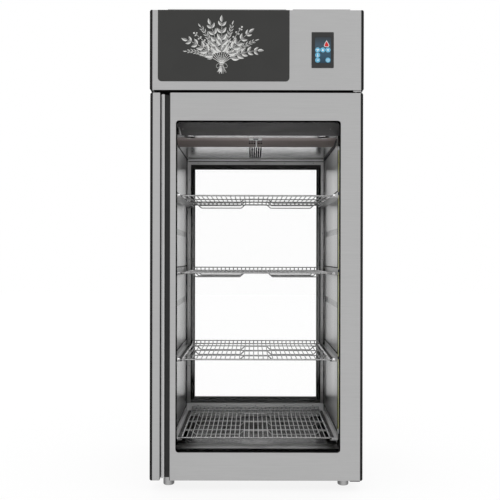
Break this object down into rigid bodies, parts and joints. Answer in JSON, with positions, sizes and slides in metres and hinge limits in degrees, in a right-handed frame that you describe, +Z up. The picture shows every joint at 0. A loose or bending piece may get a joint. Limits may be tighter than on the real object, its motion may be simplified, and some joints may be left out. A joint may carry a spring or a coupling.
{
  "type": "dry aging cabinet",
  "caption": "Tall stainless steel cabinet with a glazed door and back, wire shelves on runners, a stepped full-height handle, round feet and a header with a touch display.",
  "frame": {"origin": "on the floor under the feet, at the middle of the cabinet's width and depth", "axes": "+Z up, +X to the right as seen from the front, +Y to the back; the door faces -Y"},
  "size_m": [0.8936, 0.71, 2.0108],
  "materials": {
    "stainless": "satin",
    "polished_steel": "polished",
    "black_plastic": "satin",
    "dark_steel": "satin",
    "printed_panel": "matte",
    "foam": "matte",
    "glass": "gloss",
    "spacer": "satin",
    "rubber": "matte",
    "light_diffuser": "satin",
    "lamp": "gloss",
    "chrome_wire": "polished",
    "screen": "gloss",
    "fins": "satin",
    "tray": "satin",
    "black_metal": "satin",
    "grey_plastic": "matte",
    "foot_steel": "satin"
  },
  "bodies": {
    "cabinet": {"outer_casing": "stainless", "insulation_foam": "foam", "inner_liner": "polished_steel", "front_frame": "black_plastic", "rear_window_frame": "black_plastic", "rear_glass_inner": "glass", "rear_glass_outer": "glass", "rear_glass_spacer": "spacer", "ceiling_fascia": "dark_steel", "air_duct_cover": "polished_steel", "spotlight_left": "lamp", "spotlight_right": "lamp", "light_bar_left": "light_diffuser", "light_bar_right": "light_diffuser", "evaporator_unit": "fins", "drip_tray": "tray", "header_shell": "stainless", "header_fascia": "stainless", "header_trim_left": "black_plastic", "header_trim_right": "black_plastic", "graphic_panel": "printed_panel", "display_bezel": "black_plastic", "display_screen": "screen", "roof_lid_left": "stainless", "roof_lid_right": "stainless", "compressor": "black_metal", "condenser_unit": "fins", "control_box": "grey_plastic", "power_inlet": "black_plastic", "upper_hinge_bracket": "stainless", "lower_hinge_bracket": "black_metal", "shelf_runner_1_left": "polished_steel", "shelf_runner_1_right": "polished_steel", "shelf_runner_2_left": "polished_steel", "shelf_runner_2_right": "polished_steel", "shelf_runner_3_left": "polished_steel", "shelf_runner_3_right": "polished_steel", "shelf_runner_4_left": "polished_steel", "shelf_runner_4_right": "polished_steel"},
    "door": {"door_skin": "stainless", "door_core": "black_plastic", "door_inner_frame": "black_plastic", "door_glass_outer": "glass", "door_glass_inner": "glass", "door_glass_spacer": "spacer", "door_gasket": "rubber", "handle_profile": "stainless", "handle_channel": "black_plastic", "door_trim_left": "black_plastic", "door_trim_right": "black_plastic"},
    "shelf_1": {"shelf_1": "chrome_wire"},
    "shelf_2": {"shelf_2": "chrome_wire"},
    "shelf_3": {"shelf_3": "chrome_wire"},
    "shelf_4": {"shelf_4": "chrome_wire"},
    "foot_front_left": {"foot_front_left": "foot_steel"},
    "foot_front_right": {"foot_front_right": "foot_steel"},
    "foot_rear_left": {"foot_rear_left": "foot_steel"},
    "foot_rear_right": {"foot_rear_right": "foot_steel"},
    "evaporator_fan": {"evaporator_fan": "black_plastic"},
    "condenser_fan": {"condenser_fan": "black_plastic"}
  },
  "joints": [
    {"name": "door_hinge", "type": "hinge", "parent": "cabinet", "child": "door", "pos_m": [0.416, -0.33, 0.8525], "axis": [0, 0, 1], "range_deg": [0, 105]},
    {"name": "shelf_1_slide", "type": "slide", "parent": "cabinet", "child": "shelf_1", "axis": [0, -1, 0], "range_m": [0, 0.045]},
    {"name": "shelf_2_slide", "type": "slide", "parent": "cabinet", "child": "shelf_2", "axis": [0, -1, 0], "range_m": [0, 0.045]},
    {"name": "shelf_3_slide", "type": "slide", "parent": "cabinet", "child": "shelf_3", "axis": [0, -1, 0], "range_m": [0, 0.045]},
    {"name": "shelf_4_slide", "type": "slide", "parent": "cabinet", "child": "shelf_4", "axis": [0, -1, 0], "range_m": [0, 0.045]},
    {"name": "foot_front_left_turn", "type": "hinge", "parent": "cabinet", "child": "foot_front_left", "pos_m": [-0.374, -0.265, 0.025], "axis": [0, 0, 1], "continuous": true},
    {"name": "foot_front_right_turn", "type": "hinge", "parent": "cabinet", "child": "foot_front_right", "pos_m": [0.374, -0.265, 0.025], "axis": [0, 0, 1], "continuous": true},
    {"name": "foot_rear_left_turn", "type": "hinge", "parent": "cabinet", "child": "foot_rear_left", "pos_m": [-0.374, 0.285, 0.025], "axis": [0, 0, 1], "continuous": true},
    {"name": "foot_rear_right_turn", "type": "hinge", "parent": "cabinet", "child": "foot_rear_right", "pos_m": [0.374, 0.285, 0.025], "axis": [0, 0, 1], "continuous": true},
    {"name": "evaporator_fan_spin", "type": "hinge", "parent": "cabinet", "child": "evaporator_fan", "pos_m": [0, 0.041, 1.5413], "axis": [0, 1, 0], "continuous": true},
    {"name": "condenser_fan_spin", "type": "hinge", "parent": "cabinet", "child": "condenser_fan", "pos_m": [-0.185, 0.2115, 1.7967], "axis": [0, 1, 0], "continuous": true}
  ]
}
